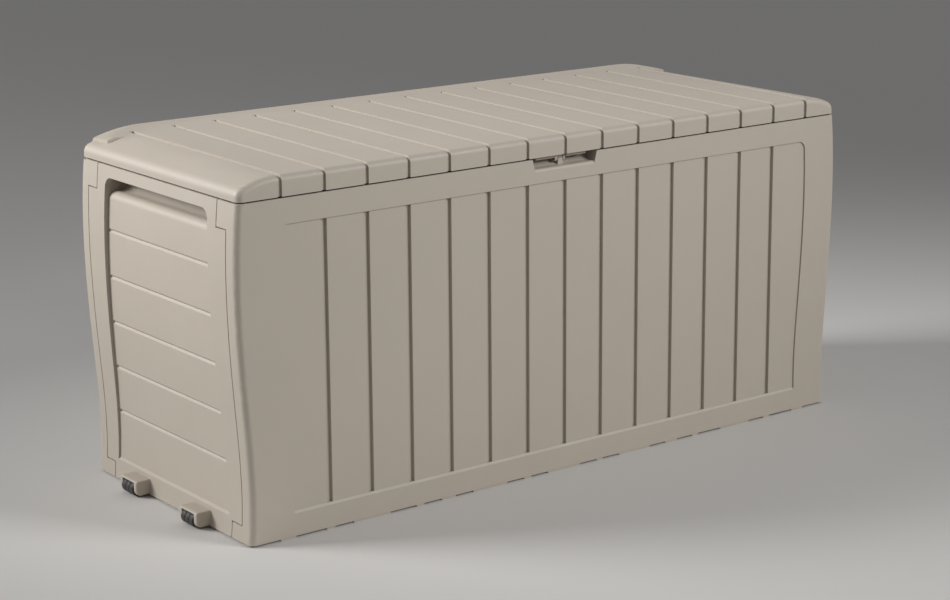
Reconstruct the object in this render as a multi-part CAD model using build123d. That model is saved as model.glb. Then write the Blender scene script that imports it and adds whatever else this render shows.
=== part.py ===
from build123d import *
import math
import os

# Deck storage box in moulded resin: five snap-together base panels, a hinged
# plank-pattern lid on two stay arms, and two small transport wheels.
# Millimetres, +Z up. Origin: middle of the footprint on the ground.
# +X runs along the length with the wheels at -X, and the front faces -Y.

# ---------------------------------------------------------------- driving sizes
DEPTH = 457.0               # front face to back face
HALF_D = DEPTH / 2
PANEL_BOTTOM = 3.0          # the panels hang just clear of the ground
PANEL_TOP = 504.8           # rim of the base
WALL = 4.0                  # wall of every large moulding
EDGE_R = 10.0               # rounding of the four upright corners
# Half length of the box at each height: the ends swell high up and tuck in low down.
END_CURVE = ((-20, 583.2), (98, 577.5), (216, 585), (356, 592), (526, 583.2))
REACH = 700.0               # longer than half the box, for cutting blocks
PLANK = 73.7                # pitch of the plank pattern

# Corner joints between panels
SEAM = 1.9                  # visible gap
WRAP_Y = 203.0              # the long panels turn the corner as far as this
TAB_Y = 176.0               # and further at their top and bottom tabs
TOP_TAB_Z = 466.5
BOTTOM_TAB_Z = 26.5
TONGUE_EDGE_Y = 215.0       # tongue of the end panel behind the seam
TONGUE_ROOT_Y = 163.0
TONGUE = 3.0
TONGUE_GAP = 0.3
TONGUE_Z = (30.0, 496.0)

# Plank field on the long panels
FIELD_BORDER = 72.0
FIELD_Z = (41.0, 467.0)
FIELD_DEPTH = 2.2
FIELD_BACKING = 1.0          # extra wall behind the field
FIELD_R = 14.0
LEDGE = 3.4                 # height of the sloping ledge under each plank field
GROOVES = 13
GROOVE_MOUTH = 9.6
GROOVE_FLOOR = 8.8
GROOVE_DEPTH = 4.8
RIDGE_WIDTH = 14.0          # backs up each groove on the inside
RIDGE = 5.0

# Field and handle of the end panels
END_FIELD_Z = (37.0, 486.9)
END_FIELD_HALF = (166.0, 150.0)     # half width at the bottom and at the top
END_FIELD_R = 16.0
END_FIELD_DEPTH = (3.2, 7.5)        # recess at the bottom and at the top
END_GROOVES = 5
END_GROOVE_START = 41.0
END_GROOVE_PITCH = 72.6
END_GROOVE_HALF = 3.3               # V groove: half its height, and its depth
END_GROOVE_DEPTH = 2.5
HANDLE_HALF = 150.0
HANDLE_FLOOR_Z = 464.0
HANDLE_TOP_Z = 498.0
HANDLE_DEEP_X = 553.0
HANDLE_RAIL_X = 580.0
HANDLE_LIP_R = 12.0
HANDLE_BACK_R = 12.0
HANDLE_WALL = 3.5

# Finger recess and padlock eye at the middle of the front rim
RECESS_HALF = (58.0, 64.0)          # at its floor and at the rim
RECESS_FLOOR_Z = 489.5
RECESS_BACK_Y = -198.0
RECESS_ROLL = 5.0
RECESS_WALL = 3.5
EYE_Y = -211.0
EYE_Z = 499.5
EYE_HOLE = 7.0
EYE_HALF = 3.5
EAR_X = (5.2, 10.2)
EAR_R = 5.6
TAB_X = (10.2, 49.5)
LIP_Y = (-218.5, -215.2)
LIP_Z = 501.0

# Floor
FLOOR_TOP = 26.0
FLOOR_PLATE = 4.0
FLOOR_GAP = 0.4
FLOOR_RIBS_X = 9
FLOOR_RIBS_Y = 3
RIB = 3.0
PAD_DEPTH = 12.0
PAD_SETBACK = 1.0
# Ground pads along both long edges, as (place in plank pitches, length)
PADS = ((0, 66), (1, 14), (2, 66), (3.08, 26), (3.8, 14), (5, 66), (6, 14), (7, 26))

# Lid
LID_BOTTOM = 507.0
LID_HALF = 585.0
LID_TOP = (538.5, 543.5)            # top height at the front and at the back
LID_RUN = (62.0, 100.0)             # how far in the rounded ends reach, front and back
LID_TURN = (65.0, 70.0)             # degrees turned by the tight part of that round
LID_TIGHT_R = (15.7, 15.0)
LID_EDGE_R = 10.0
LID_GROOVES = 15
LID_GROOVE_WIDTH = 7.4
LID_GROOVE_DEPTH = 3.8
LID_RIDGE = 2.6                     # backs up each groove on the inside
LID_GROOVE_END_Y = 196.0
RIM_HALF = 566.0
RIM_RAISE = 4.5
RIM_Y = (180.0, 222.0)              # foot and crest of the slope up to the back rim
LID_RIB_Z = 514.0
LID_RIB_HALF = 520.0

# Hinges
HINGE_Y = 221.5
HINGE_Z = 498.0
HINGE_X = (-400.0, 0.0, 400.0)
KNUCKLE_R = 7.0
LID_KNUCKLE_HALF = 20.0
LUG_X = (21.0, 33.0)
HINGE_NOTCH_HALF = 37.0
HINGE_NOTCH_Z = 488.0
BACK_TOP = 503.0                    # the back rim is lower, so that the lid can swing
RELIEF_Y = 214.0
PIN_D = 6.0

# Lid stays: the arm turns with the lid, so its peg runs in an arc-shaped slot
OPEN_ANGLE = 100.0
STAY_CRANK = 60.0                   # hinge to arm pivot, and radius of the slot
STAY_DIP = 40.0                     # the pivot lies this many degrees below the hinge line
STAY_LENGTH = 170.0
STAY_RISE = 55.0                    # peg above pivot with the lid shut
ARM_X = (536.0, 541.0)
TRACK_X = (541.6, 546.6)
TRACK_FLANGE_X = 557.0
TRACK_FLANGE_Z = (523.0, 526.0)
TRACK_RIM = 6.0
PEG_R = 4.0
SLOT_GAP = 0.3
ARM_R = 8.0
PIVOT_D = 7.0
SCREW_X = 551.0
SCREW_R = 1.75

# Wheels
WHEEL_Y = (-90.0, 90.0)
WHEEL_X = -594.5
WHEEL_Z = 12.6
WHEEL_R = 11.5
WHEEL_HALF = 17.0
AXLE_D = 6.0
AXLE_HALF = 23.5
HOOD_HALF = 25.5
HOOD_TOP = 27.0
HOOD_SKIN = 2.5
HOOD_R = 9.0
HOOD_MOUTH = 17.6

FIT = 0.05                          # radial clearance of a pin in its hole


# ---------------------------------------------------------------- helpers
def block(x, y, z):
    """Box between two values on each axis."""
    size = (x[1] - x[0], y[1] - y[0], z[1] - z[0])
    middle = ((x[0] + x[1]) / 2, (y[0] + y[1]) / 2, (z[0] + z[1]) / 2)
    return Pos(*middle) * Box(*size)


def rod_x(x, y, z, radius):
    """Cylinder along X from x[0] to x[1]."""
    length = x[1] - x[0]
    return Pos(x[0] + length / 2, y, z) * Rot(Y=90) * Cylinder(radius, length)


def rod_y(x, y, z, radius):
    """Cylinder along Y from y[0] to y[1]."""
    length = y[1] - y[0]
    return Pos(x, y[0] + length / 2, z) * Rot(X=90) * Cylinder(radius, length)


def along_x(points, x):
    """Prism along X from x[0] to x[1] on a polygon of (y, z) points."""
    face = make_face(Polyline(*points, close=True))
    return Plane.YZ.offset(x[0]) * extrude(face, x[1] - x[0])


def along_y(edges, half):
    """Prism along Y, both ways from the middle, on edges drawn in (x, z)."""
    return Plane.XZ * extrude(make_face(edges), half, both=True)


def both_ends(shape):
    """A shape and its mirror image on the other end of the box."""
    return shape + mirror(shape, Plane.YZ)


def mix(pair, t):
    """Value a fraction t of the way from pair[0] to pair[1]."""
    return pair[0] + (pair[1] - pair[0]) * t


# ---------------------------------------------------------------- base shell
def end_prism(inset, half_depth, round_r=0.0):
    """Solid inside the curved ends; inset is a distance or a function of height."""
    depth_at = inset if callable(inset) else (lambda z: inset)
    right = [(half - depth_at(z), z) for z, half in END_CURVE]
    left = [(-x, z) for x, z in right]
    edges = [Spline(*right), Line(right[-1], left[-1]), Spline(*left), Line(left[0], right[0])]
    solid = along_y(edges, half_depth)
    if round_r:
        upright = solid.edges().filter_by(GeomType.BSPLINE)
        solid = fillet(upright, round_r)
    return solid


HULL = end_prism(0, HALF_D, EDGE_R)
CAVITY = end_prism(WALL, HALF_D - WALL, EDGE_R - WALL)
HEIGHT = (PANEL_BOTTOM, PANEL_TOP)
SHELL = (HULL - CAVITY) & block((-REACH, REACH), (-REACH, REACH), HEIGHT)


def long_zone(gap):
    """Share of the shell that belongs to the front panel, grown by a gap."""
    wide = (-REACH, REACH)
    main = block(wide, (-REACH, -WRAP_Y + gap), HEIGHT)
    upper = block(wide, (-REACH, -TAB_Y + gap), (TOP_TAB_Z - gap, PANEL_TOP))
    lower = block(wide, (-REACH, -TAB_Y + gap), (PANEL_BOTTOM, BOTTOM_TAB_Z + gap))
    return main + upper + lower


def plank_panel():
    """Front panel before its finger recess: a bordered field of upright planks."""
    panel = SHELL & long_zone(0)
    outside = -HALF_D
    low, high = FIELD_Z
    grooves = Part()
    ridges = Part()
    half_mouth = GROOVE_MOUTH / 2
    half_floor = GROOVE_FLOOR / 2
    face_y = outside + FIELD_DEPTH
    for index in range(GROOVES):
        x = (index - GROOVES // 2) * PLANK
        floor_y = face_y + GROOVE_DEPTH
        mouth = [(x - half_mouth, outside - 1), (x + half_mouth, outside - 1), (x + half_mouth, face_y),
                 (x + half_floor, floor_y), (x - half_floor, floor_y), (x - half_mouth, face_y)]
        grooves += Pos(0, 0, low) * extrude(make_face(Polyline(*mouth, close=True)), high - low)
        side = (x - RIDGE_WIDTH / 2, x + RIDGE_WIDTH / 2)
        inner = outside + WALL
        ridges += block(side, (inner - 0.5, inner + RIDGE), (FLOOR_TOP + 10, high + 6))
    field = end_prism(FIELD_BORDER, REACH) & block((-REACH, REACH), (outside - 1, face_y), FIELD_Z)
    backing = end_prism(FIELD_BORDER, REACH) & block((-REACH, REACH), (inner - 0.5, inner + FIELD_BACKING), FIELD_Z)
    across = field.edges().filter_by(lambda e: abs(e.tangent_at(0.5).Y) > 0.9)
    field = fillet(across.group_by(Axis.Z)[-1], FIELD_R)
    slope = [(outside - 1, low - LEDGE), (outside, low - LEDGE), (face_y, low), (outside - 1, low)]
    ledge = along_x(slope, (-REACH, REACH)) & end_prism(FIELD_BORDER, REACH)
    return panel + ridges + backing - field - ledge - grooves


def recess_prism(grow):
    """Scooped finger recess in the front rim, grown outwards by the wall around it."""
    floor = RECESS_FLOOR_Z - grow
    roll = CenterArc((-HALF_D + RECESS_ROLL, floor - RECESS_ROLL), RECESS_ROLL, 90, 90)
    start = (-HALF_D, floor - RECESS_ROLL)
    dip = (-HALF_D + 22 + grow / 2, floor + 4)
    deep = (RECESS_BACK_Y + grow, PANEL_TOP + 1)
    outline = [roll, ThreePointArc((-HALF_D + RECESS_ROLL, floor), dip, deep),
               Line(deep, (-HALF_D - 1, PANEL_TOP + 1)),
               Line((-HALF_D - 1, PANEL_TOP + 1), (-HALF_D - 1, start[1])), Line((-HALF_D - 1, start[1]), start)]
    scoop = Plane.YZ.offset(-REACH) * extrude(make_face(outline), 2 * REACH)
    low = RECESS_HALF[0] + grow
    high = RECESS_HALF[1] + grow
    sides = Polyline((-low, start[1]), (low, start[1]), (high, PANEL_TOP + 1), (-high, PANEL_TOP + 1), close=True)
    return scoop & along_y(sides, REACH)


def front_panel():
    """Plank panel with a finger recess and the padlock eye in the middle of its rim."""
    limits = block((-REACH, REACH), (-HALF_D, 0), (0, PANEL_TOP))
    panel = plank_panel() + (recess_prism(RECESS_WALL) & limits) - recess_prism(0)
    foot = 1.4 * EYE_HALF
    eye = Plane.XZ.offset(-EYE_Y - 5.5) * extrude(
        make_face(Polyline((-foot, RECESS_FLOOR_Z), (foot, RECESS_FLOOR_Z), (EYE_HALF, PANEL_TOP - 1),
                           (-EYE_HALF, PANEL_TOP - 1), close=True)), 11)
    return panel + eye - rod_x((-EAR_X[1], EAR_X[1]), EYE_Y, EYE_Z, EYE_HOLE / 2)


def back_panel():
    """The same plank panel turned round, with a low rim and six hinge lugs."""
    panel = Rot(Z=180) * plank_panel()
    relief = block((-REACH, REACH), (RELIEF_Y, REACH), (BACK_TOP, REACH))
    panel -= relief
    for x in HINGE_X:
        panel -= block((x - HINGE_NOTCH_HALF, x + HINGE_NOTCH_HALF), (RELIEF_Y, REACH), (HINGE_NOTCH_Z, REACH))
        for side in (-1, 1):
            span = sorted((x + side * LUG_X[0], x + side * LUG_X[1]))
            web = [(HINGE_Y - KNUCKLE_R, HINGE_Z), (HALF_D, HINGE_Z), (HALF_D, HINGE_NOTCH_Z - 8),
                   (HALF_D - WALL, HINGE_NOTCH_Z - 14)]
            panel += along_x(web, span) + rod_x(span, HINGE_Y, HINGE_Z, KNUCKLE_R)
        panel -= rod_x((x - HINGE_NOTCH_HALF, x + HINGE_NOTCH_HALF), HINGE_Y, HINGE_Z, PIN_D / 2 + FIT)
    return panel


# ---------------------------------------------------------------- end panels
def end_field_depth(z):
    """Depth of the end field at a height; it is deepest under the handle."""
    t = (z - END_FIELD_Z[0]) / (END_FIELD_Z[1] - END_FIELD_Z[0])
    return mix(END_FIELD_DEPTH, t)


def field_half(z):
    """Half length of the box at a height, measured on the end field."""
    curve = Spline(*[(half, height) for height, half in END_CURVE])
    low, high = 0.0, 1.0
    for _ in range(30):
        middle = (low + high) / 2
        if (curve @ middle).Y < z:
            low = middle
        else:
            high = middle
    return (curve @ low).X - end_field_depth(z)


def end_field_outline(grow):
    """Prism along X on the outline of the end field, on the -X side."""
    low = (END_FIELD_HALF[0] + grow, END_FIELD_Z[0] - grow)
    high = (END_FIELD_HALF[1] + grow, END_FIELD_Z[1] + grow)
    face = make_face(Polyline((-low[0], low[1]), low, high, (-high[0], high[1]), close=True))
    face = fillet(face.vertices().group_by(Axis.Y)[-1], END_FIELD_R + grow)
    return Plane.YZ.offset(-REACH) * extrude(face, REACH)


def handle_cavity():
    """Finger pocket behind the top rail, with a rolled lip at its mouth."""
    lip = HANDLE_LIP_R
    floor = HANDLE_FLOOR_Z
    face_x = -field_half(floor - lip)
    roll = CenterArc((face_x + lip, floor - lip), lip, 90, 90)
    inner = (-HANDLE_DEEP_X - HANDLE_BACK_R, floor)
    back = CenterArc((inner[0], floor + HANDLE_BACK_R), HANDLE_BACK_R, -90, 90)
    outer = -REACH
    path = [Line((outer, floor - lip), (face_x, floor - lip)), roll,
            Line((face_x + lip, floor), inner), back,
            Line((-HANDLE_DEEP_X, floor + HANDLE_BACK_R), (-HANDLE_DEEP_X, HANDLE_TOP_Z)),
            Line((-HANDLE_DEEP_X, HANDLE_TOP_Z), (-HANDLE_RAIL_X, HANDLE_TOP_Z)),
            Line((-HANDLE_RAIL_X, HANDLE_TOP_Z), (-HANDLE_RAIL_X, END_FIELD_Z[1])),
            Line((-HANDLE_RAIL_X, END_FIELD_Z[1]), (outer, END_FIELD_Z[1])),
            Line((outer, END_FIELD_Z[1]), (outer, floor - lip))]
    cavity = along_y(path, HANDLE_HALF)
    mouth = end_field_outline(0) + block((-HANDLE_RAIL_X, 0), (-REACH, REACH), (0, REACH))
    return cavity & mouth


def end_panel():
    """End panel at -X: recessed plank field, handle, tongues and a boss for the stay arm."""
    half = REACH
    inner_y = (-TAB_Y + SEAM, TAB_Y - SEAM)
    zone = block((-half, 0), inner_y, HEIGHT)
    zone += block((-half, 0), (-WRAP_Y + SEAM, WRAP_Y - SEAM), (BOTTOM_TAB_Z + SEAM, TOP_TAB_Z - SEAM))
    panel = SHELL & zone

    skin = end_prism(0, half)
    field_skin = end_prism(end_field_depth, half)
    field_back = end_prism(lambda z: end_field_depth(z) + WALL, half)
    panel += end_field_outline(WALL) & (skin - field_back) & block((-half, 0), inner_y, HEIGHT)

    pocket_y = (-HANDLE_HALF - HANDLE_WALL, HANDLE_HALF + HANDLE_WALL)
    panel += block((-HANDLE_RAIL_X - 3, -HANDLE_DEEP_X + HANDLE_WALL), pocket_y,
                   (HANDLE_FLOOR_Z - HANDLE_WALL, HANDLE_TOP_Z + HANDLE_WALL))
    panel += block((-HANDLE_RAIL_X - 2, -HANDLE_RAIL_X + HANDLE_LIP_R), pocket_y,
                   (HANDLE_FLOOR_Z - HANDLE_LIP_R, HANDLE_FLOOR_Z))
    panel -= end_field_outline(0) - field_skin
    panel -= handle_cavity()

    foot = END_FIELD_Z[0]
    under = foot - LEDGE
    ledge = [(-half, under), (-field_half(under) - end_field_depth(under), under), (-field_half(foot), foot),
             (-half, foot)]
    panel -= along_y(Polyline(*ledge, close=True), END_FIELD_HALF[0])

    for index in range(1, END_GROOVES + 1):
        z = END_GROOVE_START + index * END_GROOVE_PITCH
        low, high = z - END_GROOVE_HALF, z + END_GROOVE_HALF
        vee = [(-half, low), (-field_half(low), low), (-field_half(z) + END_GROOVE_DEPTH, z),
               (-field_half(high), high), (-half, high)]
        reach = mix(END_FIELD_HALF, index / (END_GROOVES + 1)) - 3
        panel -= along_y(Polyline(*vee, close=True), reach)

    tongue = end_prism(WALL + TONGUE_GAP, half) - end_prism(WALL + TONGUE_GAP + TONGUE, half)
    root = end_prism(WALL - 0.5, half) - end_prism(WALL + TONGUE_GAP + TONGUE, half)
    for side in (-1, 1):
        flap = sorted((side * TONGUE_ROOT_Y, side * TONGUE_EDGE_Y))
        foot = sorted((side * TONGUE_ROOT_Y, side * (TAB_Y - SEAM - 1)))
        panel += tongue & block((-half, 0), flap, TONGUE_Z)
        panel += root & block((-half, 0), foot, TONGUE_Z)

    boss_x = (-END_CURVE[3][1] + WALL + TONGUE + 2, -ARM_X[1] - 0.5)
    panel += rod_x(boss_x, PIVOT[0], PIVOT[1], ARM_R)
    panel -= rod_x((boss_x[1] - 14, boss_x[1] + 1), PIVOT[0], PIVOT[1], PIVOT_D / 2 + FIT)
    return panel


def wheel_hoods():
    """Two hoods that carry the wheels low on the -X end."""
    hoods = Part()
    inner_x = -END_CURVE[1][1] - 1
    corner_r = 4.0
    outer_x = WHEEL_X - HOOD_R
    top = HOOD_TOP
    path = [Line((inner_x, WHEEL_Z - HOOD_R), (WHEEL_X, WHEEL_Z - HOOD_R)),
            CenterArc((WHEEL_X, WHEEL_Z), HOOD_R, 180, 90),
            Line((outer_x, WHEEL_Z), (outer_x, top - corner_r)),
            CenterArc((outer_x + corner_r, top - corner_r), corner_r, 90, 90),
            Line((outer_x + corner_r, top), (inner_x, top)), Line((inner_x, top), (inner_x, WHEEL_Z - HOOD_R))]
    for y in WHEEL_Y:
        hood = Pos(0, y, 0) * along_y(path, HOOD_HALF)
        outer_corners = hood.edges().filter_by(Axis.Z).group_by(Axis.X)[0]
        hood = fillet(outer_corners, 3.0)
        hood -= block((-REACH, inner_x - 4.1), (y - HOOD_MOUTH, y + HOOD_MOUTH), (-1, top - HOOD_SKIN))
        hood -= rod_y(WHEEL_X, (y - AXLE_HALF - 0.5, y + AXLE_HALF + 0.5), WHEEL_Z, AXLE_D / 2 + FIT)
        hoods += hood
    return hoods


# ---------------------------------------------------------------- floor
def floor_panel():
    """Ribbed floor tray with pads that stand on the ground."""
    inset = WALL + TONGUE_GAP + TONGUE + FLOOR_GAP
    y_inset = WALL + RIDGE + FLOOR_GAP
    outer = end_prism(inset, HALF_D - y_inset, 4)
    rim = outer - end_prism(inset + RIB, HALF_D - y_inset - RIB)
    plate_z = (FLOOR_TOP - FLOOR_PLATE, FLOOR_TOP)
    everywhere = (-REACH, REACH)
    tray = outer & block(everywhere, everywhere, plate_z)
    tray += rim & block(everywhere, everywhere, (0, FLOOR_TOP))
    below = outer & block(everywhere, everywhere, (0, FLOOR_TOP - 1))
    for index in range(FLOOR_RIBS_X):
        x = (index - FLOOR_RIBS_X // 2) * 2 * PLANK * 7 / FLOOR_RIBS_X
        tray += block((x - RIB / 2, x + RIB / 2), everywhere, (0, FLOOR_TOP)) & below
    for index in range(FLOOR_RIBS_Y):
        y = (index - FLOOR_RIBS_Y // 2) * DEPTH / (FLOOR_RIBS_Y + 1)
        tray += block(everywhere, (y - RIB / 2, y + RIB / 2), (0, FLOOR_TOP)) & below
    for place, length in PADS:
        for x in {place * PLANK, -place * PLANK}:
            for side in (-1, 1):
                span = sorted((side * (HALF_D - PAD_SETBACK), side * (HALF_D - PAD_SETBACK - PAD_DEPTH)))
                tray += block((x - length / 2, x + length / 2), span, (0, PANEL_BOTTOM - 0.1))
    return tray


# ---------------------------------------------------------------- lid
def lid_section(which, inset, lift):
    """Face across the lid at its front (0) or back (1), moved inwards by an inset."""
    half = LID_HALF - inset
    top = LID_TOP[which] + lift - inset
    run = LID_RUN[which] - inset
    turn = LID_TURN[which]
    tight = LID_TIGHT_R[which] - inset
    cosine = math.cos(math.radians(turn))
    sine = math.sin(math.radians(turn))
    easy = (run - tight * (1 - cosine)) / cosine
    wall_top = top - tight * sine - easy * (1 - sine)
    edges = [Line((-half, LID_BOTTOM), (half, LID_BOTTOM)),
             Line((half, LID_BOTTOM), (half, wall_top)),
             CenterArc((half - tight, wall_top), tight, 0, turn),
             CenterArc((half - run, top - easy), easy, turn, 90 - turn),
             Line((half - run, top), (-half + run, top)),
             CenterArc((-half + run, top - easy), easy, 90, 90 - turn),
             CenterArc((-half + tight, wall_top), tight, 180 - turn, turn),
             Line((-half, wall_top), (-half, LID_BOTTOM))]
    y = (HALF_D - inset) * (1 if which else -1)
    return Plane.XZ.offset(-y) * make_face(edges)


def lid_solid(inset, lift=0.0):
    """Closed solid of the lid, its outer surface moved inwards by an inset."""
    solid = loft([lid_section(0, inset, lift), lid_section(1, inset, lift)], ruled=True)
    solid = Part(solid.wrapped)
    ends = solid.edges().filter_by(lambda e: abs(abs(e.center().Y) - HALF_D + inset) < 0.01)
    rounded = ends.filter_by(lambda e: e.center().Z > LID_BOTTOM + 0.01)
    return fillet(rounded, LID_EDGE_R - inset)


def back_rim():
    """Raised rim along the back of the lid, over the hinges."""
    foot, crest = RIM_Y
    far = HALF_D + 1
    wedge = [(foot, 520), (foot, LID_TOP[0]), (crest, LID_TOP[1] + RIM_RAISE + 1),
             (far, LID_TOP[1] + RIM_RAISE + 1), (far, 520)]
    return lid_solid(0, RIM_RAISE) & along_x(wedge, (-RIM_HALF, RIM_HALF))


def lid_grooves():
    """Plank grooves over the front edge and across the top of the lid."""
    return lid_strips(LID_GROOVE_WIDTH, LID_GROOVE_END_Y) - lid_solid(LID_GROOVE_DEPTH)


def lid_strips(width, end_y):
    """Blocks along the lid's plank lines, from the front as far as end_y."""
    strips = Part()
    for index in range(LID_GROOVES):
        x = (index - LID_GROOVES // 2) * PLANK
        strips += block((x - width / 2, x + width / 2), (-REACH, end_y), (0, REACH))
    return strips


def lid():
    """Lid shell with underside ribs, hinge knuckles, finger lip, padlock ears and stay pads."""
    ridges = lid_strips(RIDGE_WIDTH, LID_GROOVE_END_Y + WALL) - lid_solid(WALL + LID_RIDGE)
    hollow = lid_solid(WALL) - ridges
    shell = lid_solid(0) + back_rim() - hollow - lid_grooves()
    inside = lid_solid(WALL - 0.5)
    for side in (-1, 0, 1):
        y = side * DEPTH / 4
        shell += inside & block((-LID_RIB_HALF, LID_RIB_HALF), (y - RIB / 2, y + RIB / 2), (LID_RIB_Z, REACH))
    for index in range(-3, 4):
        x = index * 2 * PLANK
        shell += inside & block((x - RIB / 2, x + RIB / 2), (-REACH, REACH), (LID_RIB_Z, REACH))
    pad = block((TRACK_X[0], TRACK_FLANGE_X), TRACK_PAD_Y, (TRACK_FLANGE_Z[1], REACH))
    shell += both_ends(pad & inside)
    shell -= both_ends(screw_holes(SCREW_R + FIT))

    lip = block((-TAB_X[1], TAB_X[1]), LIP_Y, (LIP_Z, REACH)) & lid_solid_above(inside)
    lip -= block((-EAR_X[1], EAR_X[1]), LIP_Y, (0, LID_BOTTOM))
    ear = rod_x(EAR_X, EYE_Y, EYE_Z, EAR_R)
    ear += block(EAR_X, (EYE_Y - EAR_R, EYE_Y + EAR_R), (EYE_Z, LID_TOP[0] - 2))
    shell += lip + both_ends(ear)
    shell -= rod_x((-EAR_X[1], EAR_X[1]), EYE_Y, EYE_Z, EYE_HOLE / 2)

    for x in HINGE_X:
        span = (x - LID_KNUCKLE_HALF, x + LID_KNUCKLE_HALF)
        knuckle = rod_x(span, HINGE_Y, HINGE_Z, KNUCKLE_R)
        knuckle += block(span, (HINGE_Y, HALF_D), (HINGE_Z, LID_BOTTOM + 8))
        knuckle -= rod_x(span, HINGE_Y, HINGE_Z, PIN_D / 2 + 2 * FIT)
        shell += knuckle
    return shell


def lid_solid_above(inside):
    """Inside of the lid together with the space below it, where lips hang down."""
    below = block((-LID_RIB_HALF, LID_RIB_HALF), (-HALF_D + WALL, 0), (LIP_Z - 1, LID_BOTTOM + 1))
    return inside + below


# ---------------------------------------------------------------- stays
dip = math.radians(STAY_DIP)
PIVOT = (HINGE_Y - STAY_CRANK * math.cos(dip), HINGE_Z - STAY_CRANK * math.sin(dip))
ARM_TILT = math.asin(STAY_RISE / STAY_LENGTH)
PEG = (PIVOT[0] - STAY_LENGTH * math.cos(ARM_TILT), PIVOT[1] + STAY_RISE)
SLOT_CENTRE = (HINGE_Y - STAY_LENGTH * math.cos(ARM_TILT), HINGE_Z + STAY_RISE)
TRACK_PAD_Y = (SLOT_CENTRE[0] - 58, SLOT_CENTRE[0] + 58)
SCREW_Y = (SLOT_CENTRE[0] - 46, SLOT_CENTRE[0] + 46)


def arc_band(half_width):
    """Face in (y, z) along the peg's path in the lid, as wide as twice the half width."""
    start = 180 + STAY_DIP
    path = CenterArc(SLOT_CENTRE, STAY_CRANK, start, OPEN_ANGLE)
    inner = CenterArc(SLOT_CENTRE, STAY_CRANK - half_width, start, OPEN_ANGLE)
    outer = CenterArc(SLOT_CENTRE, STAY_CRANK + half_width, start, OPEN_ANGLE)
    band = make_face([inner, outer, Line(inner @ 0, outer @ 0), Line(inner @ 1, outer @ 1)])
    for end in (path @ 0, path @ 1):
        band += Pos(end.X, end.Y) * Circle(half_width)
    return band


def stay_track():
    """Slotted track for the peg of a stay arm, screwed under the +X end of the lid."""
    width = TRACK_X[1] - TRACK_X[0]
    plate = arc_band(PEG_R + SLOT_GAP + TRACK_RIM)
    low = HINGE_Z + STAY_RISE - STAY_CRANK
    middle = (SLOT_CENTRE[0], (low + TRACK_FLANGE_Z[1]) / 2)
    plate += Pos(*middle) * Rectangle(2 * 46, TRACK_FLANGE_Z[1] - low)
    plate &= Pos(SLOT_CENTRE[0], TRACK_FLANGE_Z[1] - 50) * Rectangle(200, 100)
    plate -= arc_band(PEG_R + SLOT_GAP)
    track = Plane.YZ.offset(TRACK_X[0]) * extrude(plate, width)
    track += block((TRACK_X[0], TRACK_FLANGE_X), TRACK_PAD_Y, TRACK_FLANGE_Z)
    return track - screw_holes(SCREW_R + 4 * FIT)


def stay_arm():
    """Arm from the end panel to the track, with its peg, on the +X side."""
    tilt = math.degrees(ARM_TILT)
    middle = ((PIVOT[0] + PEG[0]) / 2, (PIVOT[1] + PEG[1]) / 2)
    profile = Pos(*middle) * Rot(Z=-tilt) * Rectangle(STAY_LENGTH, 2 * ARM_R - 2)
    panel = Pos(*middle) * Rot(Z=-tilt) * RectangleRounded(STAY_LENGTH - 44, 7, 3)
    for end in (PIVOT, PEG):
        profile += Pos(*end) * Circle(ARM_R)
    thickness = ARM_X[1] - ARM_X[0]
    arm = Plane.YZ.offset(ARM_X[0]) * extrude(profile, thickness)
    arm -= Plane.YZ.offset(ARM_X[0] - 1) * extrude(panel, 1 + thickness / 2)
    arm += rod_x((ARM_X[1] - 1, TRACK_X[1] + 2), PEG[0], PEG[1], PEG_R)
    return arm - rod_x((ARM_X[0] - 1, ARM_X[1] + 1), PIVOT[0], PIVOT[1], PIVOT_D / 2 + 2 * FIT)


def stay_pivot():
    """Headed pin that holds a stay arm to its boss, on the +X side."""
    pin = rod_x((ARM_X[0] - 0.3, ARM_X[1] + 12), PIVOT[0], PIVOT[1], PIVOT_D / 2)
    head = rod_x((ARM_X[0] - 2.8, ARM_X[0] - 0.3), PIVOT[0], PIVOT[1], PIVOT_D)
    return pin + head


def screw_holes(radius):
    """Cylinders at the places of one track's screws, on the +X side."""
    holes = Part()
    for y in SCREW_Y:
        holes += Pos(SCREW_X, y, TRACK_FLANGE_Z[0] + 4) * Cylinder(radius, 10)
    return holes


def track_screws():
    """Pan-head screws of both tracks."""
    screws = []
    for x in (-SCREW_X, SCREW_X):
        for y in SCREW_Y:
            shank = Pos(x, y, TRACK_FLANGE_Z[0] + 3.5) * Cylinder(SCREW_R, 9)
            head = Pos(x, y, TRACK_FLANGE_Z[0] - 1.2) * Cylinder(3.8, 2.4)
            slot = Pos(x, y, TRACK_FLANGE_Z[0] - 2.2) * (Box(4.4, 1, 1.2) + Box(1, 4.4, 1.2))
            screws.append(shank + fillet(head.edges().group_by(Axis.Z)[0], 0.9) - slot)
    return screws


# ---------------------------------------------------------------- pins and wheels
def hinge_pins():
    """Three pins with a head at one end."""
    pins = []
    for x in HINGE_X:
        pin = rod_x((x - LUG_X[1], x + LUG_X[1] + 0.5), HINGE_Y, HINGE_Z, PIN_D / 2)
        head = rod_x((x + LUG_X[1] + 0.5, x + LUG_X[1] + 2.5), HINGE_Y, HINGE_Z, PIN_D / 2 + 1.5)
        pins.append(pin + head)
    return pins


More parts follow.
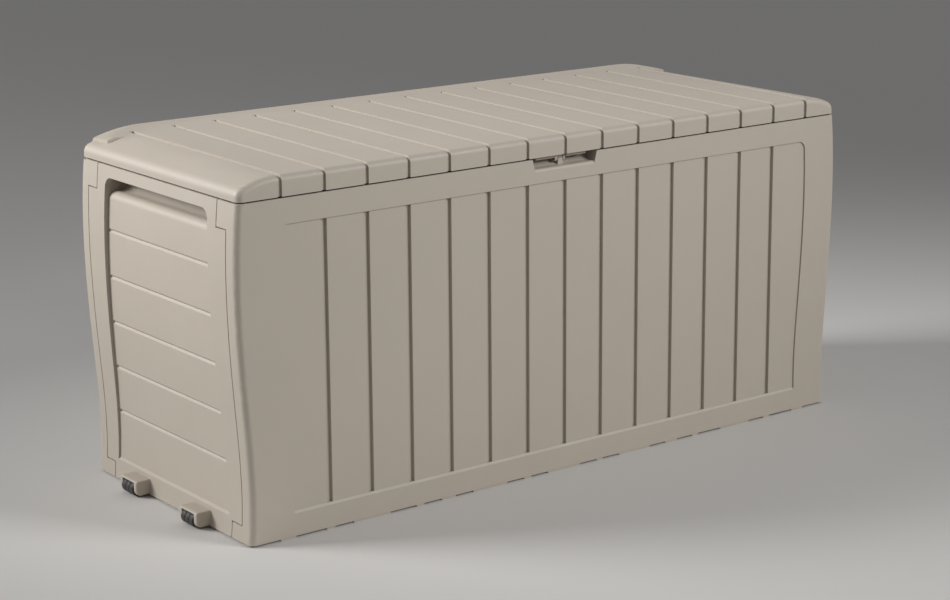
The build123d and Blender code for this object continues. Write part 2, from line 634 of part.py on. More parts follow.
def wheel(y):
    """Small roller with a flat tread, recessed sides and two tread lines."""
    body = rod_y(WHEEL_X, (y - WHEEL_HALF, y + WHEEL_HALF), WHEEL_Z, WHEEL_R)
    body = fillet(body.edges().filter_by(GeomType.CIRCLE), 1.2)
    for side in (-1, 1):
        face = y + side * WHEEL_HALF
        ring = rod_y(WHEEL_X, sorted((face, face - side * 2)), WHEEL_Z, WHEEL_R - 2.5)
        hub = rod_y(WHEEL_X, sorted((face, face - side * 2)), WHEEL_Z, AXLE_D / 2 + 2)
        body -= ring - hub
        line_y = sorted((y + side * 5, y + side * 6.2))
        line = rod_y(WHEEL_X, line_y, WHEEL_Z, WHEEL_R + 1)
        body -= line - rod_y(WHEEL_X, line_y, WHEEL_Z, WHEEL_R - 0.8)
    return body - rod_y(WHEEL_X, (y - WHEEL_HALF, y + WHEEL_HALF), WHEEL_Z, AXLE_D / 2 + 2 * FIT)


def axles():
    """Two axles, one in each hood."""
    return [rod_y(WHEEL_X, (y - AXLE_HALF, y + AXLE_HALF), WHEEL_Z, AXLE_D / 2) for y in WHEEL_Y]


# ---------------------------------------------------------------- nodes
def mirrored(shape):
    """The same piece on the -X side."""
    return mirror(shape, Plane.YZ)


end = end_panel()
arm = stay_arm()
track = stay_track()
pivot = stay_pivot()

nodes = {
    "floor_panel": floor_panel(),
    "front_panel": front_panel(),
    "back_panel": back_panel(),
    "left_end_panel": end + wheel_hoods(),
    "right_end_panel": mirrored(end),
    "lid": lid(),
    "hinge_pins": Compound(hinge_pins()),
    "stay_arm_left": mirrored(arm),
    "stay_arm_right": arm,
    "stay_track_left": mirrored(track),
    "stay_track_right": track,
    "track_screws": Compound(track_screws()),
    "stay_pivots": Compound([pivot, mirrored(pivot)]),
    "wheel_front": wheel(WHEEL_Y[0]),
    "wheel_rear": wheel(WHEEL_Y[1]),
    "wheel_axles": Compound(axles()),
}

os.makedirs("parts", exist_ok=True)
for name, shape in nodes.items():
    export_step(shape, f"parts/{name}.step")
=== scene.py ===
"""Deck storage box in moulded resin, dressed for studio light.

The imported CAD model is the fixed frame. Large mouldings are welded, softened copies of
their CAD solids; pins, screws and rollers are made here. Metres, +Z up, front at -Y.
"""

from __future__ import annotations

import logging
import math
from dataclasses import dataclass
from enum import Enum

import bmesh
import bpy
from mathutils import Matrix, Vector

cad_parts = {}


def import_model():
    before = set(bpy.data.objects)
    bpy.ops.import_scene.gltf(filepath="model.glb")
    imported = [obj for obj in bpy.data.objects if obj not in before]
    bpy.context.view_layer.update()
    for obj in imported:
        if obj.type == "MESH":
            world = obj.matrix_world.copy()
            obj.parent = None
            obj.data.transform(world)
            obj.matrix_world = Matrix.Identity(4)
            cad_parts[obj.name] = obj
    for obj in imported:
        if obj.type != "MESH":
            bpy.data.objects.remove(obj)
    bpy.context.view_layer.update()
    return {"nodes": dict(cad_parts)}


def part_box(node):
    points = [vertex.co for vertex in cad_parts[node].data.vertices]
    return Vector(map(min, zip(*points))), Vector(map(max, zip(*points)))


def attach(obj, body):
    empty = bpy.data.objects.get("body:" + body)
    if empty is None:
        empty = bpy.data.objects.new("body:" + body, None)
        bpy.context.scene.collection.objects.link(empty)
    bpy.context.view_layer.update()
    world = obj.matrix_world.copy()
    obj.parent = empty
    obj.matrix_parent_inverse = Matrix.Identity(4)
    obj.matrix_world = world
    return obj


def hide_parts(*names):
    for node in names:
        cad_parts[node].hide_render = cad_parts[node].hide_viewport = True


LOG = logging.getLogger("deck_box")
MM = 0.001
SENSOR_MM = 36.0
PANEL_CREASE_DEG = 30.0     # edges flatter than this are shaded as one curve
STAY_CREASE_DEG = 28.0
NOISE_LOW, NOISE_HIGH = 0.3, 0.7    # where nearly all of a noise texture's values lie
MIX_FIRST, MIX_SECOND, MIX_RESULT = 6, 7, 2     # the colour sockets of a Mix node


class Body(Enum):
    """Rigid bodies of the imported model."""

    BASE = "base"
    LID = "lid"
    STAY_LEFT = "stay_left"
    STAY_RIGHT = "stay_right"
    WHEEL_FRONT = "wheel_front"
    WHEEL_REAR = "wheel_rear"


class Slot(Enum):
    """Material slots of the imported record."""

    RESIN = "resin"
    LID_RESIN = "resin_lid"
    STAY = "stay_plastic"
    WHEEL = "wheel_plastic"
    STEEL = "steel"


# ------------------------------------------------------------------ small tools
def srgb(hex_colour: str) -> tuple[float, float, float, float]:
    """Turn an sRGB hex colour to linear light.

    Args:
        hex_colour: six hex digits, with or without a leading #.

    Returns:
        Linear red, green, blue and an alpha of 1.
    """
    digits = hex_colour.lstrip("#")
    linear = []
    for index in (0, 2, 4):
        value = int(digits[index:index + 2], 16) / 255
        linear.append(value / 12.92 if value <= 0.04045 else ((value + 0.055) / 1.055) ** 2.4)
    return (*linear, 1.0)


def add_node(tree: bpy.types.NodeTree, kind: str, inputs: dict | None = None,
             **settings) -> bpy.types.Node:
    """Add a node with its settings, input values and links.

    Args:
        tree: node tree that gets the node.
        kind: node type, such as ShaderNodeBump.
        inputs: input name or index to a value, or to the output socket that feeds it.
        settings: properties of the node itself.

    Returns:
        The new node.
    """
    node = tree.nodes.new(kind)
    for key, value in settings.items():
        setattr(node, key, value)
    for key, value in (inputs or {}).items():
        if isinstance(value, bpy.types.NodeSocket):
            tree.links.new(value, node.inputs[key])
        else:
            node.inputs[key].default_value = value
    return node


# ------------------------------------------------------------------ finishes
@dataclass(frozen=True)
class MouldedPlastic:
    """Injection moulded plastic with a spark-eroded skin.

    The tool's fine grain scatters the highlight, the wall's slight sink makes it waver, and
    pigment flow changes the colour by a few percent over a hand's width.
    """

    name: str
    colour: str
    cloud: str
    roughness: float
    grain_mm: float
    grain_depth_mm: float
    sink_mm: float
    sink_depth_mm: float
    cloud_share: float = 0.3
    clouds_per_m: float = 7.0
    scuffs_per_m: float = 38.0
    gloss_swing: tuple[float, float] = (-0.05, 0.06)
    ior: float = 1.49

    def build(self) -> bpy.types.Material:
        """Make the Blender material."""
        material = bpy.data.materials.new(self.name)
        material.use_nodes = True
        tree = material.node_tree
        shader = tree.nodes["Principled BSDF"]
        place = add_node(tree, "ShaderNodeTexCoord").outputs["Object"]
        clouds = add_node(tree, "ShaderNodeTexNoise", {"Vector": place, "Scale": self.clouds_per_m,
                                                       "Detail": 3.0, "Roughness": 0.55})
        tone = add_node(tree, "ShaderNodeMapRange", {"Value": clouds.outputs["Fac"],
                                                     "From Min": NOISE_LOW, "From Max": NOISE_HIGH,
                                                     "To Min": 0.0, "To Max": self.cloud_share})
        colour = add_node(tree, "ShaderNodeMix", {"Factor": tone.outputs["Result"]}, data_type="RGBA")
        colour.inputs[MIX_FIRST].default_value = srgb(self.colour)
        colour.inputs[MIX_SECOND].default_value = srgb(self.cloud)
        scuff = add_node(tree, "ShaderNodeTexNoise", {"Vector": place, "Scale": self.scuffs_per_m,
                                                      "Detail": 5.0, "Roughness": 0.6})
        gloss = add_node(tree, "ShaderNodeMapRange", {"Value": scuff.outputs["Fac"],
                                                      "From Min": NOISE_LOW, "From Max": NOISE_HIGH,
                                                      "To Min": self.roughness + self.gloss_swing[0],
                                                      "To Max": self.roughness + self.gloss_swing[1]})
        grain = add_node(tree, "ShaderNodeTexNoise", {"Vector": place, "Scale": 1 / (self.grain_mm * MM),
                                                      "Detail": 2.0, "Roughness": 0.6})
        sink = add_node(tree, "ShaderNodeTexNoise", {"Vector": place, "Scale": 1 / (self.sink_mm * MM),
                                                     "Detail": 1.0, "Roughness": 0.4})
        broad = add_node(tree, "ShaderNodeBump", {"Height": sink.outputs["Fac"], "Strength": 1.0,
                                                  "Distance": self.sink_depth_mm * MM})
        fine = add_node(tree, "ShaderNodeBump", {"Height": grain.outputs["Fac"], "Strength": 1.0,
                                                 "Distance": self.grain_depth_mm * MM,
                                                 "Normal": broad.outputs["Normal"]})
        tree.links.new(colour.outputs[MIX_RESULT], shader.inputs["Base Color"])
        tree.links.new(gloss.outputs["Result"], shader.inputs["Roughness"])
        tree.links.new(fine.outputs["Normal"], shader.inputs["Normal"])
        shader.inputs["IOR"].default_value = self.ior
        return material


@dataclass(frozen=True)
class ZincSteel:
    """Zinc plated steel: dull crystalline plating, a little uneven in gloss."""

    name: str
    colour: str
    roughness: float
    spangles_per_m: float = 700.0
    gloss_swing: tuple[float, float] = (-0.06, 0.1)
    pit_mm: float = 0.03

    def build(self) -> bpy.types.Material:
        """Make the Blender material."""
        material = bpy.data.materials.new(self.name)
        material.use_nodes = True
        tree = material.node_tree
        shader = tree.nodes["Principled BSDF"]
        place = add_node(tree, "ShaderNodeTexCoord").outputs["Object"]
        spangle = add_node(tree, "ShaderNodeTexVoronoi", {"Vector": place, "Scale": self.spangles_per_m})
        gloss = add_node(tree, "ShaderNodeMapRange", {"Value": spangle.outputs["Distance"],
                                                      "To Min": self.roughness + self.gloss_swing[0],
                                                      "To Max": self.roughness + self.gloss_swing[1]})
        pits = add_node(tree, "ShaderNodeBump", {"Height": spangle.outputs["Distance"], "Strength": 0.4,
                                                 "Distance": self.pit_mm * MM})
        tree.links.new(gloss.outputs["Result"], shader.inputs["Roughness"])
        tree.links.new(pits.outputs["Normal"], shader.inputs["Normal"])
        shader.inputs["Base Color"].default_value = srgb(self.colour)
        shader.inputs["Metallic"].default_value = 1.0
        return material


def make_finishes() -> dict[Slot, bpy.types.Material]:
    """Build one material for each slot of the record.

    Returns:
        Slot to material.
    """
    # The grain of the tool is near 0.3 mm. It is drawn at 2.2 mm, the finest that still shows.
    finishes = {
        Slot.RESIN: MouldedPlastic("polypropylene_taupe_moulded", "#B5AC9F", "#BCB3A6", 0.55, 2.2, 0.035,
                                   90.0, 0.35),
        Slot.LID_RESIN: MouldedPlastic("polypropylene_taupe_lid", "#B5AC9F", "#BCB3A6", 0.52, 2.2, 0.03,
                                       120.0, 0.3),
        Slot.STAY: MouldedPlastic("nylon_black_moulded", "#2B2A29", "#333231", 0.5, 1.2, 0.02, 40.0, 0.1),
        Slot.WHEEL: MouldedPlastic("polyethylene_grey_roller", "#353331", "#3C3A38", 0.55, 1.5, 0.04,
                                   30.0, 0.1),
        Slot.STEEL: ZincSteel("steel_zinc_plated", "#B9BABB", 0.36),
    }
    return {slot: finish.build() for slot, finish in finishes.items()}


# ------------------------------------------------------------------ pieces
def dress(piece: bpy.types.Object, body: Body, slot: Slot, material: bpy.types.Material,
          *stands_for: str) -> bpy.types.Object:
    """Give a finished piece its material and body.

    Args:
        piece: object whose mesh is final.
        body: CAD body it rides on.
        slot: record slot its finish comes from; not used.
        material: Blender material to show.
        stands_for: CAD nodes that it replaces.

    Returns:
        The same piece.
    """
    piece.data.materials.clear()
    piece.data.materials.append(material)
    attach(piece, body.value)
    if stands_for:
        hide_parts(*stands_for)
    LOG.info("%s rides on %s, %d faces", piece.name, body.value, len(piece.data.polygons))
    return piece


@dataclass
class Moulding:
    """A large moulding: a welded copy of its CAD solid with smooth shading over its curves."""

    node: str
    name: str
    body: Body
    slot: Slot
    crease_deg: float
    weld_mm: float = 0.005
    flat_deg: float = 0.1
    least_share: float = 1e-12      # of a face's own normal, so that no sum is zero

    def build(self, nodes: dict, materials: dict) -> bpy.types.Object:
        """Weld the CAD solid's triangles and shade them.

        Args:
            nodes: CAD node name to object.
            materials: slot to material.

        Returns:
            The dressed piece.
        """
        mesh = nodes[self.node].data.copy()
        mesh.name = self.name
        piece = bpy.data.objects.new(self.name, mesh)
        bpy.context.scene.collection.objects.link(piece)
        shape = bmesh.new()
        shape.from_mesh(mesh)
        bmesh.ops.remove_doubles(shape, verts=shape.verts, dist=self.weld_mm * MM)
        bmesh.ops.dissolve_limit(shape, angle_limit=math.radians(self.flat_deg), verts=shape.verts,
                                 edges=shape.edges)
        shape.to_mesh(mesh)
        shape.free()
        self.even_normals(mesh)
        return dress(piece, self.body, self.slot, materials[self.slot], self.node)

    def even_normals(self, mesh: bpy.types.Mesh) -> None:
        """Give each corner the normal of the faces round it that lie within the crease angle, by area.

        Args:
            mesh: mesh that gets the normals.
        """
        mesh.shade_smooth()
        limit = math.cos(math.radians(self.crease_deg))
        faces = [(face.normal.copy(), face.area) for face in mesh.polygons]
        around = [[] for _ in mesh.vertices]
        for face in mesh.polygons:
            for vertex in face.vertices:
                around[vertex].append(faces[face.index])
        normals = []
        for face in mesh.polygons:
            own = faces[face.index][0]
            for vertex in face.vertices:
                total = own * self.least_share
                for normal, area in around[vertex]:
                    if normal.dot(own) > limit:
                        total += normal * area
                normals.append(total.normalized())
        mesh.normals_split_custom_set(normals)


# ------------------------------------------------------------------ turned pieces
class Recipe:
    """A Geometry Nodes tree with named inputs that ends in one realised, dressed mesh."""

    sharp_deg = 35.0

    def __init__(self, name: str, sizes: dict[str, float | int | Vector],
                 material: bpy.types.Material) -> None:
        """Open a tree with one input for each size.

        Args:
            name: name of the tree.
            sizes: input name to its value; whole numbers become integer inputs.
            material: material set on everything at the end.
        """
        self.name = name
        self.sizes = sizes
        self.material = material
        self.tree = bpy.data.node_groups.new(name, "GeometryNodeTree")
        self.sockets = {}
        self.tree.interface.new_socket("Mesh", in_out="OUTPUT", socket_type="NodeSocketGeometry")
        for key, value in sizes.items():
            kind = "Int" if isinstance(value, int) else "Vector" if isinstance(value, Vector) else "Float"
            self.sockets[key] = self.tree.interface.new_socket(key, in_out="INPUT",
                                                               socket_type="NodeSocket" + kind)
        self.given = add_node(self.tree, "NodeGroupInput").outputs

    def math(self, operation: str, *values: float | bpy.types.NodeSocket) -> bpy.types.NodeSocket:
        """Do arithmetic on numbers or sockets and give the socket with the result."""
        node = add_node(self.tree, "ShaderNodeMath", dict(enumerate(values)), operation=operation)
        return node.outputs[0]

    def join(self, *parts: bpy.types.NodeSocket) -> bpy.types.NodeSocket:
        """Join several geometries into one."""
        node = add_node(self.tree, "GeometryNodeJoinGeometry")
        for part in parts:
            self.tree.links.new(part, node.inputs[0])
        return node.outputs[0]

    def bake(self, geometry: bpy.types.NodeSocket) -> bpy.types.Object:
        """Finish the tree, run it once and keep only its mesh.

        Args:
            geometry: socket with everything the piece is made of.

        Returns:
            A plain mesh object with no modifier.
        """
        solid = add_node(self.tree, "GeometryNodeRealizeInstances", {0: geometry}).outputs[0]
        dressed = add_node(self.tree, "GeometryNodeSetMaterial", {"Geometry": solid,
                                                                  "Material": self.material})
        add_node(self.tree, "NodeGroupOutput", {0: dressed.outputs[0]})
        piece = bpy.data.objects.new(self.name, bpy.data.meshes.new(self.name))
        bpy.context.scene.collection.objects.link(piece)
        modifier = piece.modifiers.new("recipe", "NODES")
        modifier.node_group = self.tree
        for key, value in self.sizes.items():
            modifier[self.sockets[key].identifier] = value
        bpy.context.view_layer.update()
        mesh = bpy.data.meshes.new_from_object(piece.evaluated_get(bpy.context.evaluated_depsgraph_get()))
        piece.modifiers.clear()
        shape = bmesh.new()
        shape.from_mesh(mesh)
        bmesh.ops.recalc_face_normals(shape, faces=shape.faces)
        shape.to_mesh(mesh)
        shape.free()
        mesh.shade_smooth()
        mesh.set_sharp_from_angle(angle=math.radians(self.sharp_deg))
        piece.data = mesh
        return piece


class Axis(Enum):
    """Which way a turned piece's head points, as a turn from +Z in degrees."""

    DOWN = (180, 0, 0)
    RIGHT = (0, 90, 0)
    INWARD = (0, -90, 0)
    REAR = (-90, 0, 0)


@dataclass
class TurnedSet:
    """Identical turned pieces on a grid: a shank, and a head with a rounded crown."""

    node: str
    name: str
    body: Body
    slot: Slot
    axis: Axis
    across: int
    deep: int
    shank_mm: tuple[float, float]
    head_mm: tuple[float, float]
    crown: float = 0.5
    cross_mm: float = 0.0
    cross_arm: float = 0.24         # width of a recess arm, as a share of its span
    cross_depth: float = 0.55       # depth of the recess, as a share of the head's height
    sunk: float = 0.3               # how far the shank runs up into the head, as a share of it
    sides: int = 40
    side_steps: int = 6

    def build(self, materials: dict) -> bpy.types.Object:
        """Make the pieces where the CAD node has them.

        Args:
            materials: slot to material.

        Returns:
            The dressed piece.
        """
        low, high = (Vector(corner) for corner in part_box(self.node))
        radius = max(self.head_mm[0], self.shank_mm[0]) * MM
        length = (self.shank_mm[1] + self.head_mm[1]) * MM
        reach = Vector((length, 2 * radius, 2 * radius))
        if self.axis is Axis.DOWN:
            reach = Vector((2 * radius, 2 * radius, length))
        elif self.axis is Axis.REAR:
            reach = Vector((2 * radius, length, 2 * radius))
        size = high - low - reach
        recipe = Recipe(self.name, {
            "Across": self.across, "Deep": self.deep, "Grid size": Vector((size.x, size.y, 0)),
            "Centre": (low + high) / 2, "Shank radius": self.shank_mm[0] * MM,
            "Shank length": self.shank_mm[1] * MM, "Head radius": self.head_mm[0] * MM,
            "Head height": self.head_mm[1] * MM, "Crown": self.crown, "Cross": self.cross_mm * MM,
        }, materials[self.slot])
        return dress(recipe.bake(self.tree(recipe)), self.body, self.slot, materials[self.slot], self.node)

    def tree(self, recipe: Recipe) -> bpy.types.NodeSocket:
        """Draw one piece with its head up, and set it on the grid."""
        tree, given = recipe.tree, recipe.given
        length = recipe.math("ADD", given["Shank length"], given["Head height"])
        overlap = recipe.math("MULTIPLY", given["Head height"], self.sunk)
        stem = recipe.math("ADD", given["Shank length"], overlap)
        shank = add_node(tree, "GeometryNodeMeshCylinder", {
            "Vertices": self.sides, "Radius": given["Shank radius"], "Depth": stem})
        shank_z = recipe.math("MULTIPLY", recipe.math("SUBTRACT", stem, length), 0.5)
        shank_at = add_node(tree, "ShaderNodeCombineXYZ", {"Z": shank_z})
        shank = add_node(tree, "GeometryNodeTransform", {"Geometry": shank.outputs["Mesh"],
                                                         "Translation": shank_at.outputs[0]})
        head = self.head(recipe)
        half_head = recipe.math("MULTIPLY", given["Head height"], 0.5)
        head_z = recipe.math("SUBTRACT", recipe.math("MULTIPLY", length, 0.5), half_head)
        head_at = add_node(tree, "ShaderNodeCombineXYZ", {"Z": head_z})
        head = add_node(tree, "GeometryNodeTransform", {"Geometry": head, "Translation": head_at.outputs[0]})
        union = add_node(tree, "GeometryNodeMeshBoolean", operation="UNION", solver="EXACT")
        for part in (shank, head):
            tree.links.new(part.outputs[0], union.inputs["Mesh 2"])
        one = union.outputs["Mesh"]
        span = add_node(tree, "ShaderNodeSeparateXYZ", {0: given["Grid size"]})
        grid = add_node(tree, "GeometryNodeMeshGrid", {
            "Size X": span.outputs["X"], "Size Y": span.outputs["Y"],
            "Vertices X": given["Across"], "Vertices Y": given["Deep"]})
        turn = add_node(tree, "ShaderNodeCombineXYZ", dict(zip("XYZ", map(math.radians, self.axis.value))))
        if self.axis is Axis.INWARD:
            place = add_node(tree, "ShaderNodeSeparateXYZ",
                             {0: add_node(tree, "GeometryNodeInputPosition").outputs[0]})
            left = recipe.math("LESS_THAN", place.outputs["X"], 0.0)
            tree.links.new(recipe.math("MULTIPLY", left, math.pi), turn.inputs["Z"])
        placed = add_node(tree, "GeometryNodeInstanceOnPoints", {
            "Points": grid.outputs["Mesh"], "Instance": one, "Rotation": turn.outputs[0]})
        moved = add_node(tree, "GeometryNodeTransform", {"Geometry": placed.outputs[0],
                                                         "Translation": given["Centre"]})
        return moved.outputs[0]

    def head(self, recipe: Recipe) -> bpy.types.NodeSocket:
        """Draw the head: a disc whose side curves in towards a flatter top."""
        tree, given = recipe.tree, recipe.given
        disc = add_node(tree, "GeometryNodeMeshCylinder", {
            "Vertices": self.sides, "Side Segments": self.side_steps, "Radius": given["Head radius"],
            "Depth": given["Head height"]})
        place = add_node(tree, "ShaderNodeSeparateXYZ",
                         {0: add_node(tree, "GeometryNodeInputPosition").outputs[0]})
        rise = recipe.math("ADD", recipe.math("DIVIDE", place.outputs["Z"], given["Head height"]), 0.5)
        bend = recipe.math("MULTIPLY", recipe.math("POWER", rise, 3.0), given["Crown"])
        shrink = recipe.math("SQRT", recipe.math("SUBTRACT", 1.0, bend))
        curved = add_node(tree, "ShaderNodeCombineXYZ", {
            "X": recipe.math("MULTIPLY", place.outputs["X"], shrink),
            "Y": recipe.math("MULTIPLY", place.outputs["Y"], shrink), "Z": place.outputs["Z"]})
        head = add_node(tree, "GeometryNodeSetPosition", {"Geometry": disc.outputs["Mesh"],
                                                          "Position": curved.outputs[0]}).outputs[0]
        if not self.cross_mm:
            return head
        thin = recipe.math("MULTIPLY", given["Cross"], self.cross_arm)
        depth = recipe.math("MULTIPLY", given["Head height"], 2 * self.cross_depth)
        lift = recipe.math("MULTIPLY", given["Head height"], self.cross_depth)
        up = add_node(tree, "ShaderNodeCombineXYZ", {"Z": lift})
        for wide, deep in ((given["Cross"], thin), (thin, given["Cross"])):
            size = add_node(tree, "ShaderNodeCombineXYZ", {"X": wide, "Y": deep, "Z": depth})
            bar = add_node(tree, "GeometryNodeMeshCube", {"Size": size.outputs[0]})
            bar = add_node(tree, "GeometryNodeTransform", {"Geometry": bar.outputs["Mesh"],
                                                           "Translation": up.outputs[0]})
            cut = add_node(tree, "GeometryNodeMeshBoolean", operation="DIFFERENCE", solver="EXACT")
            tree.links.new(head, cut.inputs["Mesh 1"])
            tree.links.new(bar.outputs[0], cut.inputs["Mesh 2"])
            head = cut.outputs["Mesh"]
        return head


@dataclass
class Roller:
    """Transport roller: a core with a dished web, a hub, and a tread in raised bands."""

    node: str
    name: str
    body: Body
    bore_mm: float = 3.12
    hub_mm: float = 5.2
    rim_mm: float = 8.8
    core_mm: float = 10.7
    web_sunk_mm: float = 2.0
    bands: int = 3
    band_gap_mm: float = 1.3
    edge_mm: float = 0.45
    edge_steps: int = 3
    sides: int = 56

    def build(self, materials: dict) -> bpy.types.Object:
        """Make the roller where the CAD node has it.

        Args:
            materials: slot to material.

        Returns:
            The dressed piece.
        """
        low, high = (Vector(corner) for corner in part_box(self.node))
        width = high.y - low.y
        recipe = Recipe(self.name, {
            "Tread radius": (high.z - low.z) / 2, "Core radius": self.core_mm * MM,
            "Rim radius": self.rim_mm * MM, "Hub radius": self.hub_mm * MM,
            "Bore radius": self.bore_mm * MM, "Width": width,
            "Web width": width - 2 * self.web_sunk_mm * MM, "Bands": self.bands,
            "Band pitch": Vector((0, 0, width / self.bands)),
            "Band width": width / self.bands - self.band_gap_mm * MM, "Centre": (low + high) / 2,
        }, materials[Slot.WHEEL])
        return dress(recipe.bake(self.tree(recipe)), self.body, Slot.WHEEL, materials[Slot.WHEEL], self.node)

    def ring(self, recipe: Recipe, inner: bpy.types.NodeSocket, outer: bpy.types.NodeSocket,
             width: bpy.types.NodeSocket) -> bpy.types.NodeSocket:
        """Turn a rounded rectangle round the Z axis.

        Args:
            recipe: tree being drawn.
            inner: socket with the inner radius.
            outer: socket with the outer radius.
            width: socket with the length along Z.

        Returns:
            Socket with the ring's mesh.
        """
        tree = recipe.tree
        middle = recipe.math("MULTIPLY", recipe.math("ADD", inner, outer), 0.5)
        path = add_node(tree, "GeometryNodeCurvePrimitiveCircle", {"Resolution": self.sides,
                                                                   "Radius": middle})
        section = add_node(tree, "GeometryNodeCurvePrimitiveQuadrilateral", {
            "Width": recipe.math("SUBTRACT", outer, inner), "Height": width})
        soft = add_node(tree, "GeometryNodeFilletCurve", {
            "Curve": section.outputs["Curve"], "Count": self.edge_steps,
            "Radius": self.edge_mm * MM}, mode="POLY")
        return add_node(tree, "GeometryNodeCurveToMesh", {"Curve": path.outputs["Curve"],
                                                          "Profile Curve": soft.outputs["Curve"]}).outputs[0]

    def tree(self, recipe: Recipe) -> bpy.types.NodeSocket:
        """Stack the rings along Z, then lay the roller along Y."""
        tree, given = recipe.tree, recipe.given
        core = self.ring(recipe, given["Rim radius"], given["Core radius"], given["Width"])
        web = self.ring(recipe, given["Bore radius"], given["Core radius"], given["Web width"])
        hub = self.ring(recipe, given["Bore radius"], given["Hub radius"], given["Width"])
        band = self.ring(recipe, given["Rim radius"], given["Tread radius"], given["Band width"])
        start = add_node(tree, "ShaderNodeVectorMath", {0: given["Band pitch"],
                                                        "Scale": (1 - self.bands) / 2}, operation="SCALE")
        line = add_node(tree, "GeometryNodeMeshLine", {"Count": given["Bands"],
                                                       "Start Location": start.outputs[0],
                                                       "Offset": given["Band pitch"]}, mode="OFFSET")
        tread = add_node(tree, "GeometryNodeInstanceOnPoints", {"Points": line.outputs["Mesh"],
                                                                "Instance": band})
        laid = add_node(tree, "GeometryNodeTransform", {
            "Geometry": recipe.join(core, web, hub, tread.outputs[0]),
            "Rotation": (math.pi / 2, 0, 0), "Translation": given["Centre"]})
        return laid.outputs[0]


# ------------------------------------------------------------------ studio
@dataclass
class Studio:
    """Pale floor, soft lights and the camera."""

    floor_half: float = 30.0
    floor_colour: str = "#CFCDCA"
    floor_roughness: float = 0.8
    sky_colour: str = "#E6E6E8"
    sky_strength: float = 0.3
    camera_place: tuple[float, float, float] = (-2.1869, -2.8913, 1.1562)
    heading_deg: float = 37.26
    dip_deg: float = 13.1
    roll_deg: float = 0.38
    lens_mm: float = 86.57
    shift: tuple[float, float] = (-0.0074, -0.0515)

    def build(self) -> None:
        """Make the floor, world, lights and camera."""
        self.floor()
        self.world()
        self.lights()
        self.camera()

    def floor(self) -> None:
        """Lay the floor."""
        mesh = bpy.data.meshes.new("studio_floor")
        half = self.floor_half
        corners = [(-half, -half, 0), (half, -half, 0), (half, half, 0), (-half, half, 0)]
        mesh.from_pydata(corners, [], [(0, 1, 2, 3)])
        floor = bpy.data.objects.new("studio_floor", mesh)
        bpy.context.scene.collection.objects.link(floor)
        material = bpy.data.materials.new("painted_floor_pale")
        material.use_nodes = True
        shader = material.node_tree.nodes["Principled BSDF"]
        shader.inputs["Base Color"].default_value = srgb(self.floor_colour)
        shader.inputs["Roughness"].default_value = self.floor_roughness
        mesh.materials.append(material)

    def world(self) -> None:
        """Set the soft light that comes from all round."""
        world = bpy.data.worlds.new("studio_world")
        world.use_nodes = True
        background = world.node_tree.nodes["Background"]
        background.inputs["Color"].default_value = srgb(self.sky_colour)
        background.inputs["Strength"].default_value = self.sky_strength
        bpy.context.scene.world = world

    def lights(self) -> None:
        """Hang the soft boxes."""
        self.soft_box("key_left", (-2.6, 1.6, 2.0), (-0.3, 0.0, 0.8), 1.6, 46.0, 14.3)
        self.soft_box("front_right", (2.2, -3.8, 2.8), (0.0, 0.0, 0.9), 1.9, 52.0, 17.0)

    def soft_box(self, name: str, place: tuple[float, float, float], target: tuple[float, float, float],
                 size: float, spread_deg: float, power: float) -> None:
        """Hang one square soft box with a grid that narrows its beam.

        Args:
            name: name of the light.
            place: position in metres.
            target: point that it is turned towards.
            size: side length in metres.
            spread_deg: full angle of the beam.
            power: watts.
        """
        light = bpy.data.lights.new(name, "AREA")
        light.size = size
        light.energy = power
        light.spread = math.radians(spread_deg)
        lamp = bpy.data.objects.new(name, light)
        bpy.context.scene.collection.objects.link(lamp)
        aim = Vector(target) - Vector(place)
        lamp.matrix_world = Matrix.Translation(place) @ aim.to_track_quat("-Z", "Y").to_matrix().to_4x4()

    def camera(self) -> None:
        """Set up the camera at the catalogue view."""
        data = bpy.data.cameras.new("catalogue_camera")
        data.lens = self.lens_mm
        data.sensor_width = SENSOR_MM
        data.shift_x, data.shift_y = self.shift
        camera = bpy.data.objects.new("catalogue_camera", data)
        bpy.context.scene.collection.objects.link(camera)
        yaw, pitch, roll = (math.radians(angle) for angle in (self.heading_deg, self.dip_deg, self.roll_deg))
        ahead = Vector((math.sin(yaw) * math.cos(pitch), math.cos(yaw) * math.cos(pitch), -math.sin(pitch)))
        side = Vector((math.cos(yaw), -math.sin(yaw), 0))
        down = ahead.cross(side)
        right = side * math.cos(roll) + down * math.sin(roll)
        up = side * math.sin(roll) - down * math.cos(roll)
        turn = Matrix((right, up, -ahead)).transposed().to_4x4()
        camera.matrix_world = Matrix.Translation(self.camera_place) @ turn
        bpy.context.scene.camera = camera


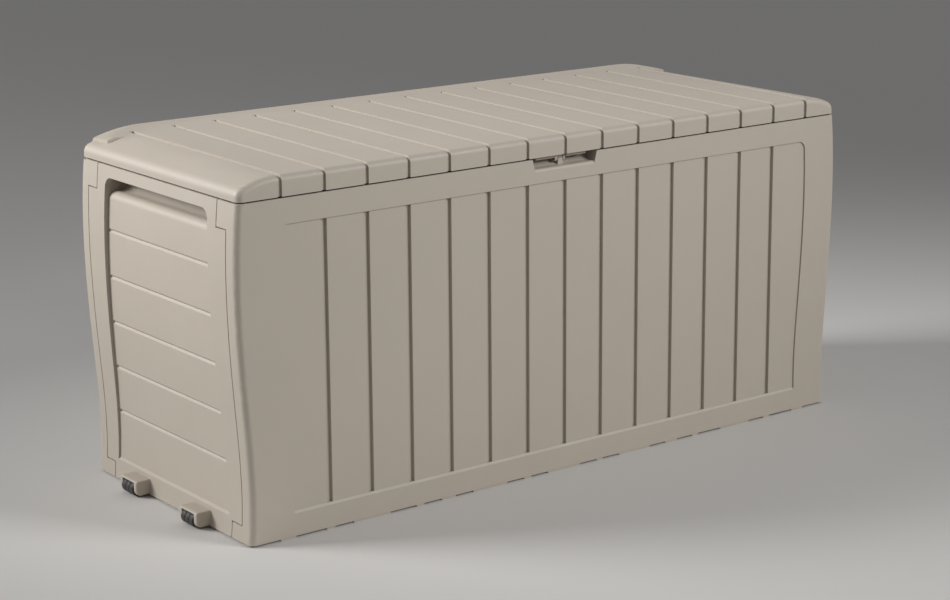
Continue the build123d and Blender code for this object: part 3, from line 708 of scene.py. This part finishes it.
def main() -> None:
    """Build the box's pieces and the studio in order."""
    logging.basicConfig(level=logging.INFO, format="%(message)s")
    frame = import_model()
    materials = make_finishes()
    nodes = frame["nodes"]
    for node, body, slot, crease in (
        ("front_panel", Body.BASE, Slot.RESIN, PANEL_CREASE_DEG),
        ("back_panel", Body.BASE, Slot.RESIN, PANEL_CREASE_DEG),
        ("left_end_panel", Body.BASE, Slot.RESIN, PANEL_CREASE_DEG),
        ("right_end_panel", Body.BASE, Slot.RESIN, PANEL_CREASE_DEG),
        ("floor_panel", Body.BASE, Slot.RESIN, PANEL_CREASE_DEG),
        ("lid", Body.LID, Slot.LID_RESIN, PANEL_CREASE_DEG),
        ("stay_arm_left", Body.STAY_LEFT, Slot.STAY, STAY_CREASE_DEG),
        ("stay_arm_right", Body.STAY_RIGHT, Slot.STAY, STAY_CREASE_DEG),
        ("stay_track_left", Body.LID, Slot.STAY, STAY_CREASE_DEG),
        ("stay_track_right", Body.LID, Slot.STAY, STAY_CREASE_DEG),
    ):
        Moulding(node, node + "_moulding", body, slot, crease).build(nodes, materials)
    for pieces in (
        TurnedSet("track_screws", "pan_head_screws", Body.LID, Slot.STEEL, Axis.DOWN, 2, 2,
                  (1.75, 8.0), (3.8, 2.4), crown=0.6, cross_mm=4.4),
        TurnedSet("hinge_pins", "headed_hinge_pins", Body.BASE, Slot.STEEL, Axis.RIGHT, 3, 1,
                  (3.0, 66.5), (4.5, 2.0), crown=0.35),
        TurnedSet("stay_pivots", "stay_pivot_rivets", Body.BASE, Slot.STEEL, Axis.INWARD, 2, 1,
                  (3.5, 17.3), (7.0, 2.5), crown=0.6),
        TurnedSet("wheel_axles", "roller_axles", Body.BASE, Slot.STEEL, Axis.REAR, 1, 2,
                  (3.0, 46.2), (2.7, 0.8), crown=0.3),
        Roller("wheel_front", "front_roller", Body.WHEEL_FRONT),
        Roller("wheel_rear", "rear_roller", Body.WHEEL_REAR),
    ):
        pieces.build(materials)
    Studio().build()
    bpy.context.scene.view_settings.view_transform = "Standard"


if __name__ == "__main__":
    main()
